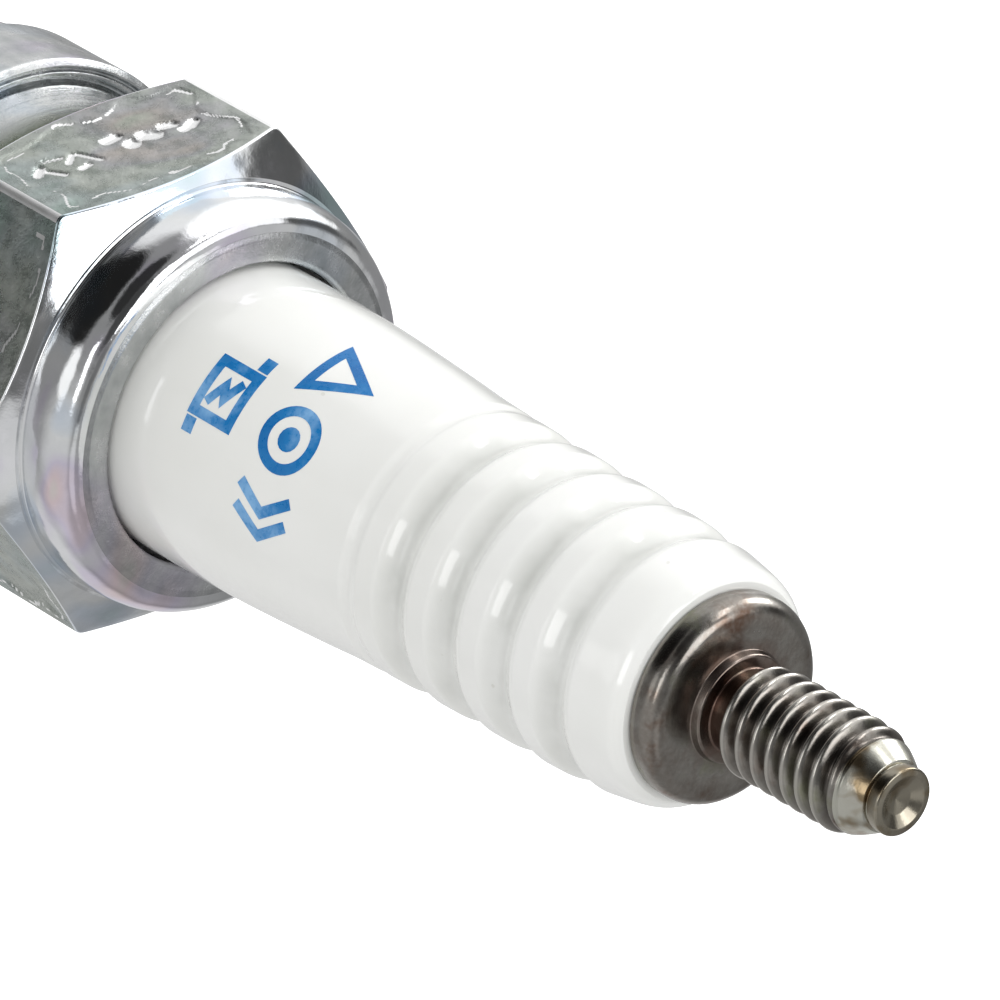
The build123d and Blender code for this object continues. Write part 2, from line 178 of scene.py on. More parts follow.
# ---- Material building ----
class Nodes:
    """Short ways to add and join shader nodes in one material or world."""

    def __init__(self, tree):
        self.tree = tree

    def add(self, kind, **values):
        node = self.tree.nodes.new(kind)
        for name, value in values.items():
            setattr(node, name, value)
        return node

    def join(self, source, target):
        self.tree.links.new(source, target)

    def math(self, operation, first, second=None):
        node = self.add("ShaderNodeMath", operation=operation)
        for socket, value in zip(node.inputs, (first, second)):
            self.feed(socket, value)
        return node.outputs[0]

    def plus(self, first, second, share):
        """The first value plus a share of the second."""
        return self.math("ADD", first, self.math("MULTIPLY", second, share))

    def cover(self, tone, colour, where, share):
        """The tone with a colour over it where the mask says, at a share of full strength."""
        return self.mix(self.math("MULTIPLY", where, share), tone, colour)

    def split(self, place):
        """The X, Y and Z outputs of a position."""
        parts = self.add("ShaderNodeSeparateXYZ")
        self.join(place, parts.inputs[0])
        return parts.outputs["X"], parts.outputs["Y"], parts.outputs["Z"]

    def feed(self, socket, value):
        """A number is set on the socket, and a node's output is joined to it."""
        if value is None:
            return
        if isinstance(value, bpy.types.NodeSocket):
            self.join(value, socket)
        else:
            socket.default_value = value

    def noise(self, place, size_mm, detail=3.0, rough=0.55, stretch=None):
        """A noise value whose features are about size_mm across."""
        if stretch is not None:
            mapping = self.add("ShaderNodeMapping")
            mapping.inputs["Scale"].default_value = stretch
            self.join(place, mapping.inputs["Vector"])
            place = mapping.outputs["Vector"]
        node = self.add("ShaderNodeTexNoise")
        node.inputs["Scale"].default_value = 1 / (size_mm * MM)
        node.inputs["Detail"].default_value = detail
        node.inputs["Roughness"].default_value = rough
        self.join(place, node.inputs["Vector"])
        return node.outputs["Fac"]

    def ramp(self, value, *stops):
        """Colours or grey values against position, joined smoothly."""
        node = self.add("ShaderNodeValToRGB")
        elements = node.color_ramp.elements
        while len(elements) < len(stops):
            elements.new(0.5)
        for element, (position, colour) in zip(elements, stops):
            element.position = position
            if not isinstance(colour, tuple):
                colour = (colour, colour, colour)
            element.color = (*colour, 1)
        self.join(value, node.inputs["Fac"])
        return node.outputs["Color"]

    def mix(self, share, first, second, blend="MIX"):
        node = self.add("ShaderNodeMix", data_type="RGBA", blend_type=blend)
        colours = [socket for socket in node.inputs if socket.type == "RGBA"]
        self.feed(node.inputs["Factor"], share)
        for socket, value in zip(colours, (first, second)):
            self.feed(socket, (*value, 1) if isinstance(value, tuple) else value)
        return [socket for socket in node.outputs if socket.type == "RGBA"][0]

    def blend(self, share, first, second):
        """A number between two others."""
        node = self.add("ShaderNodeMix")
        sockets = node.inputs["Factor"], node.inputs[2], node.inputs[3]
        for socket, value in zip(sockets, (share, first, second)):
            self.feed(socket, value)
        return node.outputs[0]


def new_material(name):
    material = bpy.data.materials.new(name)
    material.use_nodes = True
    nodes = Nodes(material.node_tree)
    shader = material.node_tree.nodes["Principled BSDF"]
    place = nodes.add("ShaderNodeTexCoord").outputs["Object"]
    return material, nodes, shader, place


def set_surface(nodes, shader, tone, gloss, height, depth_mm, metallic=0.0):
    """Joins a colour, a roughness and a bump height to the shader."""
    nodes.join(tone, shader.inputs["Base Color"])
    nodes.join(gloss, shader.inputs["Roughness"])
    shader.inputs["Metallic"].default_value = metallic
    bump = nodes.add("ShaderNodeBump")
    bump.inputs["Distance"].default_value = depth_mm * MM
    nodes.join(height, bump.inputs["Height"])
    nodes.join(bump.outputs["Normal"], shader.inputs["Normal"])


def film_tint(nodes, place):
    """The faint colours of a passivation film, drifting from blue-green through pink to green."""
    drift = nodes.noise(place, 5.0, 2.0, 0.5, (1.0, 1.0, 1.8))
    return nodes.ramp(
        drift,
        (0.28, (0.55, 0.78, 0.80)),
        (0.38, (0.80, 0.88, 1.00)),
        (0.47, (1.00, 1.00, 1.00)),
        (0.56, (0.98, 0.97, 1.00)),
        (0.63, (0.86, 0.76, 0.96)),
        (0.70, (1.00, 0.76, 0.80)),
        (0.78, (0.80, 0.92, 0.74)),
    )


def plating(name, light, dark, smooth, rough, grain_mm, bump_mm,
            tint=0.0, turned=0.0, wave=0.0, shade=None):
    """Zinc plating: mottled tone, roughness patches and fine grain.

    tint is the share of film colours, turned the share of lathe rings and wave that of broad waves.
    shade is (low, high, colour): painted shade, a darker colour that comes in from low to high, up to the
    hexagon.
    """
    material, nodes, shader, place = new_material(name)
    patches = nodes.noise(place, grain_mm * 6, 4.0)
    grain = nodes.noise(place, grain_mm, 5.0, 0.65)
    tone = nodes.mix(nodes.ramp(patches, (0.3, 0.0), (0.7, 1.0)), dark, light)
    specks = nodes.ramp(nodes.noise(place, grain_mm * 1.7, 2.0), (0.62, 0.0), (0.72, 1.0))
    tone = nodes.cover(tone, light, specks, 0.35)
    if tint > 0:
        tone = nodes.mix(tint, tone, film_tint(nodes, place), "MULTIPLY")
    # Painted shade: the tone darkens from low to high, below the hexagon only.
    if shade:
        low, high, colour = shade
        z = nodes.split(place)[2]
        share = nodes.math("DIVIDE", nodes.math("SUBTRACT", z, low * MM), (high - low) * MM)
        share = nodes.plus(share, nodes.math("SUBTRACT", patches, 0.5), 0.6)
        share = nodes.ramp(share, (0.0, 0.0), (1.0, 1.0))
        below_hexagon = nodes.math("LESS_THAN", z, (HEX_BOTTOM + 0.1) * MM)
        tone = nodes.cover(tone, colour, share, below_hexagon)
    gloss = nodes.ramp(nodes.plus(patches, grain, 0.3), (0.45, smooth), (0.85, rough))
    height = nodes.plus(grain, nodes.noise(place, 1.6, 1.0), wave)
    if turned > 0:
        rings = nodes.noise(place, 0.16, 2.0, 0.5, (0.02, 0.02, 1.0))
        height = nodes.plus(height, rings, turned)
    set_surface(nodes, shader, tone, gloss, height, bump_mm, 1.0)
    return material


def glazed_ceramic():
    """White alumina under a clear glaze: faint warm clouds, pinholes, and grooves greyed by painted
    shade, partly from a thinner glaze there.
    """
    material, nodes, shader, place = new_material("glazed_alumina")
    clouds = nodes.noise(place, 7.0, 2.0)
    warmth = nodes.ramp(clouds, (0.35, 0.0), (0.7, 1.0))
    tone = nodes.mix(warmth, (0.815, 0.82, 0.79), (0.86, 0.865, 0.845))
    # Painted shade: greyer towards the middle of each rib groove, partly the glaze lying thinner there.
    height = nodes.math("DIVIDE", nodes.split(place)[2], RIB_PITCH * MM)
    shifted = nodes.math("SUBTRACT", height, RIB_GROOVES[0] / RIB_PITCH - 0.5)
    beside = nodes.math("ABSOLUTE", nodes.math("SUBTRACT", nodes.math("FRACT", shifted), 0.5))
    painted_groove_shade = nodes.ramp(beside, (0.02, 1.0), (RIB_HALF_WIDTH / RIB_PITCH, 0.0))
    above = nodes.math("GREATER_THAN", shifted, 0.0)
    below = nodes.math("LESS_THAN", shifted, float(len(RIB_GROOVES)))
    painted_groove_shade = nodes.math("MULTIPLY", painted_groove_shade, nodes.math("MULTIPLY", above, below))
    uneven = nodes.ramp(nodes.noise(place, 2.2, 3.0), (0.3, 0.35), (0.65, 0.95))
    tone = nodes.cover(tone, (0.62, 0.63, 0.60), painted_groove_shade, uneven)
    pinholes = nodes.ramp(nodes.noise(place, 0.35, 0.0), (0.87, 0.0), (0.91, 1.0))
    tone = nodes.cover(tone, (0.50, 0.48, 0.42), pinholes, 0.3)
    gloss = nodes.ramp(nodes.noise(place, 2.5, 3.0), (0.3, 0.08), (0.7, 0.16))
    shader.inputs["Coat Weight"].default_value = 0.6
    shader.inputs["Coat Roughness"].default_value = 0.04
    set_surface(nodes, shader, tone, gloss, nodes.noise(place, 1.6, 2.0), 0.014)
    return material


def bare_ceramic():
    """Unglazed alumina of the firing end: chalky, slightly cream, fine grain."""
    material, nodes, shader, place = new_material("bare_alumina")
    clouds = nodes.noise(place, 2.0, 4.0)
    tone = nodes.ramp(clouds, (0.3, (0.74, 0.71, 0.66)), (0.7, (0.86, 0.85, 0.82)))
    gloss = nodes.ramp(clouds, (0.3, 0.45), (0.7, 0.62))
    set_surface(nodes, shader, tone, gloss, nodes.noise(place, 0.12, 4.0), 0.01)
    return material


def printed_ink():
    """Fired blue ink, dense in places and thin and pale in others."""
    material, nodes, shader, place = new_material("printed_ink")
    cover = nodes.noise(place, 3.2, 2.0)
    grain = nodes.noise(place, 0.25, 3.0)
    share = nodes.plus(cover, grain, 0.16)
    tone = nodes.ramp(share, (0.50, (0.0, 0.135, 0.41)), (0.60, (0.005, 0.175, 0.47)),
                      (0.74, (0.20, 0.42, 0.70)))
    gloss = nodes.ramp(grain, (0.3, 0.22), (0.7, 0.38))
    set_surface(nodes, shader, tone, gloss, grain, 0.004)
    return material


def dark_nickel(name, smooth, rough):
    """Bright nickel darkened by heat: grey-brown with olive patches, marked by place along the stud, with
    painted shade and highlights on the thread and a painted highlight on the cone.
    """
    material, nodes, shader, place = new_material(name)
    drift = nodes.noise(place, 1.8, 4.0, 0.6)
    tone = nodes.ramp(
        drift,
        (0.28, (0.17, 0.11, 0.08)),
        (0.42, (0.26, 0.235, 0.21)),
        (0.55, (0.31, 0.295, 0.27)),
        (0.70, (0.27, 0.27, 0.20)),
    )
    grain = nodes.noise(place, 0.2, 3.0, 0.6)
    tone = nodes.mix(nodes.ramp(grain, (0.45, 0.0), (0.8, 0.35)), tone, (0.45, 0.43, 0.41))
    x, y, z = nodes.split(place)
    flat_place = nodes.add("ShaderNodeCombineXYZ")
    nodes.join(x, flat_place.inputs["X"])
    nodes.join(y, flat_place.inputs["Y"])
    distance = nodes.add("ShaderNodeVectorMath", operation="LENGTH")
    nodes.join(flat_place.outputs[0], distance.inputs[0])
    radius = distance.outputs["Value"]
    # rust-brown stain round the stud's root
    spread = nodes.plus(nodes.math("DIVIDE", radius, 3.2 * MM), drift, 0.5)
    near_root = nodes.math("LESS_THAN", z, (FLANGE_TOP + 1.2) * MM)
    stain = nodes.ramp(spread, (0.70, 0.85), (1.0, 0.0))
    tone = nodes.cover(tone, (0.13, 0.065, 0.045), stain, near_root)
    # painted shade in the thread's groove and a painted highlight on its crest
    on_thread = nodes.math("MULTIPLY", nodes.math("GREATER_THAN", z, THREAD_LOW * MM),
                           nodes.math("LESS_THAN", z, THREAD_HIGH * MM))
    share_of_crest = nodes.math("DIVIDE", radius, STUD_CREST * MM)
    painted_root_shade = nodes.ramp(share_of_crest, (0.80, 0.85), (0.95, 0.0))
    tone = nodes.cover(tone, (0.07, 0.062, 0.055), painted_root_shade, on_thread)
    painted_crest_highlight = nodes.ramp(share_of_crest, (0.93, 0.0), (0.99, 0.6))
    tone = nodes.cover(tone, (0.56, 0.54, 0.50), painted_crest_highlight, on_thread)
    # cone paled by a painted highlight, with burnt patches, and a darker end disc
    on_cone = nodes.math("GREATER_THAN", z, (THREAD_HIGH - 0.2) * MM)
    tone = nodes.cover(tone, (0.66, 0.66, 0.58), on_cone, 0.65)
    burnt = nodes.ramp(nodes.noise(place, 1.1, 2.0), (0.48, 0.0), (0.60, 0.85))
    tone = nodes.cover(tone, (0.22, 0.15, 0.07), burnt, on_cone)
    on_tip = nodes.math("GREATER_THAN", z, (CONE_END + 0.05) * MM)
    tone = nodes.cover(tone, (0.24, 0.20, 0.14), on_tip, 0.65)
    gloss = nodes.ramp(nodes.noise(place, 0.9, 4.0), (0.3, smooth), (0.72, rough))
    set_surface(nodes, shader, tone, gloss, grain, 0.005, 1.0)
    return material


def plain_metal(name, light, dark, smooth, rough, along=(1, 1, 1)):
    """Bare drawn or rolled metal with streaks along one direction."""
    material, nodes, shader, place = new_material(name)
    streaks = nodes.noise(place, 0.2, 4.0, 0.6, along)
    tone = nodes.mix(nodes.ramp(streaks, (0.3, 0.0), (0.7, 1.0)), dark, light)
    gloss = nodes.ramp(nodes.noise(place, 0.8, 3.0), (0.3, smooth), (0.7, rough))
    set_surface(nodes, shader, tone, gloss, streaks, 0.008, 1.0)
    return material


def powder(name, light, dark, rough):
    """Pressed or fused powder: speckled and matte."""
    material, nodes, shader, place = new_material(name)
    specks = nodes.noise(place, 0.15, 5.0, 0.7)
    tone = nodes.mix(nodes.ramp(specks, (0.35, 0.0), (0.65, 1.0)), dark, light)
    gloss = nodes.ramp(nodes.noise(place, 0.7, 2.0), (0.3, rough - 0.12), (0.7, rough))
    set_surface(nodes, shader, tone, gloss, specks, 0.02)
    return material


# ---- Outlines and meshes ----
WELD = 0.0005 * MM
THREAD_COLUMNS = 144


def around(r, angle, z):
    return r * math.cos(angle), r * math.sin(angle), z


def rounded(*corners, steps=5):
    """An outline of (r, z) points. A corner given as (r, z, radius) becomes an arc of that radius."""
    result = []
    count = len(corners)
    for index, corner in enumerate(corners):
        here = Vector(corner[:2])
        radius = corner[2] if len(corner) > 2 else 0
        if radius == 0:
            result.append((here.x, here.y))
            continue
        before = (Vector(corners[index - 1][:2]) - here).normalized()
        after = (Vector(corners[(index + 1) % count][:2]) - here).normalized()
        half = before.angle(after) / 2
        reach = radius / math.tan(half)
        centre = here + (before + after).normalized() * radius / math.sin(half)
        start = here + before * reach - centre
        end = here + after * reach - centre
        sweep = start.angle(end)
        for step in range(steps + 1):
            share = step / steps
            before_share, after_share = math.sin((1 - share) * sweep), math.sin(share * sweep)
            turn = (start * before_share + end * after_share) / math.sin(sweep)
            result.append(tuple(centre + turn.normalized() * radius))
    return result


def divided(outline, longest):
    """The outline with its long stretches divided, so that shading stays true beside rounded edges."""
    result = []
    for (r0, z0), (r1, z1) in zip(outline, outline[1:]):
        count = max(1, math.ceil(math.hypot(r1 - r0, z1 - z0) / longest))
        for step in range(count):
            share = step / count
            result.append((r0 + (r1 - r0) * share, z0 + (z1 - z0) * share))
    return result + [outline[-1]]


def add_piece(name, mesh, materials, body="plug"):
    for material in materials:
        mesh.materials.append(material)
    piece = bpy.data.objects.new(name, mesh)
    bpy.context.scene.collection.objects.link(piece)
    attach(piece, body)
    return piece


def mesh_from(work, name):
    bmesh.ops.recalc_face_normals(work, faces=work.faces)
    mesh = bpy.data.meshes.new(name)
    work.to_mesh(mesh)
    work.free()
    return mesh


def finish_mesh(name, grid, closed_rows, zones=None):
    """A smooth mesh from rows of points in millimetres.

    zones gives the material number of each row, or a list of numbers, one for each column.
    """
    work = bmesh.new()
    rows = [[work.verts.new(Vector(point) * MM) for point in row] for row in grid]
    pairs = list(zip(rows, rows[1:] + rows[:1]))
    if not closed_rows:
        pairs = pairs[:-1]
    for index, (low, high) in enumerate(pairs):
        for column in range(len(low) - 1):
            face = work.faces.new((low[column], low[column + 1], high[column + 1], high[column]))
            face.smooth = True
            if zones:
                zone = zones[index]
                face.material_index = zone if isinstance(zone, int) else zone[column]
    bmesh.ops.remove_doubles(work, verts=work.verts, dist=WELD)
    bmesh.ops.dissolve_degenerate(work, edges=work.edges, dist=WELD / 10)
    return mesh_from(work, name)


def turned(name, outline, columns, closed=True, zones=None, change=None):
    """A lathe shape: the outline swept round the Z axis. change may alter the radius by angle."""
    grid = []
    for r, z in outline:
        row = []
        for column in range(columns + 1):
            angle = TAU * (column % columns) / columns
            row.append(around(change(r, angle) if change else r, angle, z))
        grid.append(row)
    return finish_mesh(name, grid, closed, zones)


def smoothstep(low, high, value):
    share = min(max((value - low) / (high - low), 0), 1)
    return share * share * (3 - 2 * share)


def threaded(name, before, after, thread, closed):
    """A lathe shape whose middle stretch, between before and after, is a helical thread.

    thread has low, high, pitch, form (a list of (phase, depth below the crest)), start (the phase at
    angle 0), core(z) (the crest's radius), and fade_low and fade_high, over which it fades out.
    """
    low, high, pitch = thread["low"], thread["high"], thread["pitch"]
    columns = THREAD_COLUMNS
    turns = [(n, phase, depth) for n in range(-2, math.ceil((high - low) / pitch) + 3)
             for phase, depth in thread["form"]]
    grid = []
    for n, phase, depth in turns:
        row = []
        for column in range(columns + 1):
            angle = TAU * column / columns
            z = low + (n + phase + column / columns + thread["start"]) * pitch
            z = min(max(z, low), high)
            fade = smoothstep(0, thread["fade_low"], z - low)
            fade *= smoothstep(0, thread["fade_high"], high - z)
            r = thread["core"](z) - depth * fade
            row.append(around(r, angle, z))
        grid.append(row)

    def ring(r, z):
        return [around(r, TAU * column / columns, z) for column in range(columns + 1)]

    low_rows = [ring(r, z) for r, z in before]
    high_rows = [ring(r, z) for r, z in after]
    return finish_mesh(name, low_rows + grid + high_rows, closed)


# ---- Floor and light ----
FLOOR_HALF_SIZE = 1.2
FLOOR_GAP = 0.2 * MM
FLOOR_GLOW = 0.6


def make_floor():
    mesh = bpy.data.meshes.new("floor")
    size = FLOOR_HALF_SIZE
    corners = [(-size, -size, 0), (size, -size, 0), (size, size, 0), (-size, size, 0)]
    mesh.from_pydata(corners, [], [(0, 1, 2, 3)])
    floor = bpy.data.objects.new("floor", mesh)
    floor.location.z = cad_box[0].z - FLOOR_GAP
    floor.visible_glossy = False
    bpy.context.scene.collection.objects.link(floor)
    material, nodes, shader, place = new_material("floor")
    shader.inputs["Base Color"].default_value = (0.9, 0.9, 0.9, 1)
    shader.inputs["Roughness"].default_value = 0.9
    shader.inputs["Emission Color"].default_value = (1, 1, 1, 1)
    seen = nodes.add("ShaderNodeLightPath").outputs["Is Camera Ray"]
    nodes.join(nodes.math("MULTIPLY", seen, FLOOR_GLOW), shader.inputs["Emission Strength"])
    mesh.materials.append(material)


def softbox(name, direction, distance, width, height, radiance):
    """An area light of an even brightness, aimed at the plug's middle and unseen by the camera."""
    data = bpy.data.lights.new(name, "AREA")
    data.shape = "RECTANGLE"
    data.size, data.size_y = width, height
    data.energy = radiance * math.pi * width * height
    light = bpy.data.objects.new(name, data)
    direction = direction.normalized()
    light.location = PLUG_MIDDLE + direction * distance
    light.rotation_mode = "QUATERNION"
    light.rotation_quaternion = (-direction).to_track_quat("-Z", "Y")
    light.visible_camera = False
    bpy.context.scene.collection.objects.link(light)


def toward(right, up, back):
    """A direction given in the camera's first position: right, up and towards the camera."""
    return RIGHT * right + UP * up + BACK * back


PLUG_MIDDLE = Vector((0, 0, 20 * MM))
LAMPS = (
    # name, direction (right, up, back), distance, width, height, radiance
    ("key", (0.72, -0.02, 0.66), 0.34, 0.20, 0.18, 2.4),
    ("top", (0.60, 0.67, 0.43), 0.34, 0.04, 0.18, 6.3),
    ("front", (-0.32, -0.14, 0.94), 0.40, 0.18, 0.08, 2.6),
    ("rim", (0.70, 0.66, -0.25), 0.34, 0.14, 0.14, 6.5),
)
MATT_LIGHT = 0.80
BACKGROUND_LIGHT = 1.0
STUDIO_LEVEL = 0.27
STUDIO_PATCHES = (
    # direction (right, up, back), inner and outer angle in degrees, level
    ((-0.60, -0.70, 0.35), 25, 55, 0.62),       # pale lower left
    ((-0.30, -0.35, -0.88), 25, 50, 0.66),      # pale below and behind
    ((0.30, -0.90, 0.10), 15, 45, 0.40),
    ((0.32, -0.80, 0.50), 8, 20, 0.66),
    ((0.00, 0.87, -0.49), 22, 44, 0.92),        # pale behind the top
    ((0.58, 0.78, -0.10), 32, 40, 1.35),        # white tent, upper right
    ((0.90, 0.14, 0.34), 14, 22, 1.25),
    ((0.98, 0.16, -0.16), 6, 18, 0.10),
    ((0.92, -0.38, 0.08), 9, 18, 0.55),
    ((-0.66, 0.70, 0.28), 21, 30, 0.015),       # dark flag curving over the camera
    ((0.02, 0.55, 0.84), 16, 25, 0.03),
    ((0.30, 0.05, 0.95), 12, 24, 0.06),
    ((0.44, -0.48, 0.78), 6, 16, 0.16),
    ((-0.86, 0.06, 0.52), 9, 15, 1.1),          # small lamps through the flag
    ((-0.30, -0.24, 0.92), 7, 15, 0.65),
)


def make_world():
    """Even light on matt surfaces, and a studio of white cloths and dark flags in reflections."""
    world = bpy.data.worlds.new("studio")
    bpy.context.scene.world = world
    world.use_nodes = True
    nodes = Nodes(world.node_tree)
    background = world.node_tree.nodes["Background"]
    aim = nodes.add("ShaderNodeTexCoord").outputs["Generated"]
    level = STUDIO_LEVEL
    for direction, inner, outer, patch_level in STUDIO_PATCHES:
        dot = nodes.add("ShaderNodeVectorMath", operation="DOT_PRODUCT")
        dot.inputs[1].default_value = toward(*direction).normalized()
        nodes.join(aim, dot.inputs[0])
        patch = nodes.add("ShaderNodeMapRange", interpolation_type="SMOOTHSTEP")
        patch.inputs["From Min"].default_value = math.cos(math.radians(outer))
        patch.inputs["From Max"].default_value = math.cos(math.radians(inner))
        nodes.join(dot.outputs["Value"], patch.inputs["Value"])
        level = nodes.blend(patch.outputs["Result"], level, patch_level)
    path = nodes.add("ShaderNodeLightPath")
    strength = nodes.blend(path.outputs["Is Glossy Ray"], MATT_LIGHT, level)
    strength = nodes.blend(path.outputs["Is Camera Ray"], strength, BACKGROUND_LIGHT)
    nodes.join(strength, background.inputs["Strength"])
    background.inputs["Color"].default_value = (1, 1, 1, 1)


make_floor()
make_world()
for lamp_name, lamp_direction, *lamp_values in LAMPS:
    softbox(lamp_name, toward(*lamp_direction), *lamp_values)

# ---- Shared materials ----
flat_plating = plating(
    "flat_plating", light=(0.52, 0.55, 0.51), dark=(0.25, 0.28, 0.25), smooth=0.20, rough=0.38,
    grain_mm=0.12, bump_mm=0.035, tint=0.5,
)
bright_plating = plating(
    "bright_plating", light=(0.90, 0.91, 0.92), dark=(0.76, 0.78, 0.78), smooth=0.05, rough=0.13,
    grain_mm=0.35, bump_mm=0.006, tint=0.75, wave=12.0,
)
# The neck's olive band under the hexagon is painted shade and a painted reflection of the hexagon's dark
# underside.
satin_plating = plating(
    "satin_plating", light=(0.60, 0.61, 0.61), dark=(0.42, 0.44, 0.44), smooth=0.18, rough=0.30,
    grain_mm=0.12, bump_mm=0.01, tint=0.5, turned=1.0, shade=(4.7, 5.9, (0.17, 0.19, 0.13)),
)
edge_plating = plating(
    "edge_plating", light=(0.99, 0.99, 0.99), dark=(0.90, 0.91, 0.91), smooth=0.42, rough=0.58,
    grain_mm=0.3, bump_mm=0.01,
)
mark_plating = plating(
    "mark_plating", light=(0.96, 0.96, 0.96), dark=(0.86, 0.87, 0.87), smooth=0.12, rough=0.24,
    grain_mm=0.2, bump_mm=0.015,
)
thread_plating = plating(
    "thread_plating", light=(0.70, 0.71, 0.72), dark=(0.45, 0.46, 0.46), smooth=0.18, rough=0.32,
    grain_mm=0.15, bump_mm=0.008, tint=0.2,
)
gasket_metal = plating(
    "gasket_steel", light=(0.74, 0.75, 0.76), dark=(0.52, 0.53, 0.54), smooth=0.2, rough=0.34,
    grain_mm=0.12, bump_mm=0.008, tint=0.2,
)
DRAWN_ALONG_Z = (1, 1, 0.15)
electrode_metal = plain_metal(
    "nickel_alloy", light=(0.62, 0.60, 0.57), dark=(0.40, 0.38, 0.36), smooth=0.28, rough=0.42,
    along=DRAWN_ALONG_Z,
)
stud_finish = dark_nickel("nickel_plated_stud", smooth=0.17, rough=0.28)
ceramic = glazed_ceramic()
chalk = bare_ceramic()
ink = printed_ink()


# ---- Shell above the seat ----
SHELL_MATERIALS = (flat_plating, bright_plating, satin_plating, mark_plating, edge_plating)
FLAT, BRIGHT, SATIN, MARK, EDGE = range(5)


def hexagon_columns():
    """(angle, radius, flat number, distance along the flat) round the hexagon, from one corner on.

    The distance is None on a rounded corner.
    """
    columns = []
    half = (HEX_APOTHEM - HEX_CORNER_RADIUS) * math.tan(math.radians(30))
    corner_reach = (HEX_APOTHEM - HEX_CORNER_RADIUS) / math.cos(math.radians(30))
    for flat in range(6):
        middle = math.radians(30 + 60 * flat)
        count = MARKED_COLUMNS if flat == MARKED_FLAT else FLAT_COLUMNS
        for step in range(count + 1):
            along = half * (2 * step / count - 1)
            angle = middle + math.atan2(along, HEX_APOTHEM)
            columns.append((angle, math.hypot(along, HEX_APOTHEM), flat, along))
        corner = middle + math.radians(30)
        centre = Vector((math.cos(corner), math.sin(corner))) * corner_reach
        for step in range(1, CORNER_COLUMNS):
            turn = middle + math.radians(60) * step / CORNER_COLUMNS
            point = centre + Vector((math.cos(turn), math.sin(turn))) * HEX_CORNER_RADIUS
            angle = math.atan2(point.y, point.x)
            while angle < corner - 1:
                angle += TAU
            columns.append((angle, point.length, flat, None))
    return columns


def shell_outline(radius):
    """The shell above the thread relief, as a closed outline, where the hexagon has this radius."""
    chamfer = (radius - HEX_FACE_RADIUS) * HEX_SLOPE
    neck = [(NECK_RADIUS - 0.02, NECK_BOTTOM - 0.04)]
    crimp = []
    for step in range(ARC_STEPS + 1):
        share = step / ARC_STEPS
        waist = NECK_HOLLOW * math.sin(math.pi * share) ** 0.8
        neck.append((NECK_RADIUS - waist, NECK_BOTTOM + share * (HEX_BOTTOM - NECK_BOTTOM - 0.02)))
        turn = math.radians(90) * share
        crimp.append((CRIMP_INNER + CRIMP_WIDTH * math.cos(turn) ** 0.9,
                      CRIMP_BOTTOM + CRIMP_HEIGHT * math.sin(turn)))
    collar = rounded(
        (SHELL_BORE, RELIEF_END), (RELIEF_RADIUS, RELIEF_END, 0.08), (RELIEF_RADIUS, 0.0, 0.12),
        (8.0, 0.0, 0.1), (COLLAR_RADIUS, 0.25, 0.12), (COLLAR_RADIUS, 3.62, 0.14),
        # fine turned steps on the collar's upper face
        (7.98, COLLAR_TOP, 0.05), (7.90, COLLAR_TOP, 0.03), (7.86, 3.66, 0.02), (7.79, 3.66, 0.02),
        (7.74, COLLAR_TOP, 0.04), (7.56, COLLAR_TOP, 0.04), (7.52, 3.55, 0.03), (7.42, 3.55, 0.03),
        (NECK_RADIUS, 3.70), steps=4,
    )[:-1]
    hexagon = rounded(
        (HEX_ROOT_RADIUS, HEX_BOTTOM), (HEX_FACE_RADIUS, HEX_BOTTOM, 0.06),
        (radius, HEX_BOTTOM + chamfer, 0.12), (radius, HEX_TOP - chamfer, 0.12),
        (HEX_FACE_RADIUS, HEX_TOP, 0.06), (HEX_ROOT_RADIUS, HEX_TOP), steps=4,
    )[1:-1]
    lip_and_bore = rounded(
        (6.66, 15.62), (6.5, 15.63, 0.1), (6.3, 15.70, 0.3), (LIP_RADIUS, LIP_TOP, 0.22),
        (LIP_RADIUS, 14.8), (6.2, 14.8), (6.2, 2.6), (SHELL_BORE, 0.8), (SHELL_BORE, RELIEF_END), steps=4,
    )[1:-1]
    rim = [(HEX_RIM_RADIUS, HEX_TOP), (HEX_RIM_RADIUS, 13.9)]
    return collar + neck + hexagon + rim + crimp + lip_and_bore


SAME = 1e-6
SEEN_ABOVE, SEEN_OUTSIDE = 2.7, 5.3
SEEN_STRETCH, HIDDEN_STRETCH = 0.16, 0.8
SATIN_TOP = 6.9
LIP_FACE_BOTTOM, LIP_FACE_RADIUS = 15.6, 6.6
MARK_SHARE = 0.2                      # of a mark's depth, where its bright metal begins
WORN_SHARE = -0.05                    # of a noise value: worn metal where it is higher
WORN_HALF_WIDTH = 0.045
STAMPS = (
    # place along the flat, height, length, turn in degrees, half width
    (-2.75, 10.40, 0.35, 30, 0.26), (-2.30, 10.55, 0.10, 0, 0.22), (-2.05, 9.95, 0.35, -20, 0.27),
    (-1.20, 10.05, 0.25, -30, 0.42), (-0.40, 10.15, 0.10, 30, 0.36), (-0.05, 9.45, 0.45, 5, 0.27),
    (1.25, 9.90, 0.85, -65, 0.17), (1.80, 9.60, 0.60, 40, 0.16), (2.30, 9.20, 0.55, -20, 0.15),
    (1.75, 10.35, 0.35, 10, 0.17), (2.75, 10.05, 0.60, -60, 0.18), (3.15, 9.60, 0.45, 45, 0.23),
)


def stamp_depth(along, z):
    """How deep the worn punch marks of the marked flat reach at a point, from 0 to 1."""
    deepest = 0
    for centre, height, length, degrees, half in STAMPS:
        turn = math.radians(degrees)
        x = (along - centre) * math.cos(turn) + (z - height) * math.sin(turn)
        y = (z - height) * math.cos(turn) - (along - centre) * math.sin(turn)
        beyond = max(abs(x) - length / 2, 0)
        share = 1 - smoothstep(half * 0.3, half * 1.15, math.hypot(beyond, y))
        deepest = max(deepest, share * min(1, half / 0.3))
    return deepest


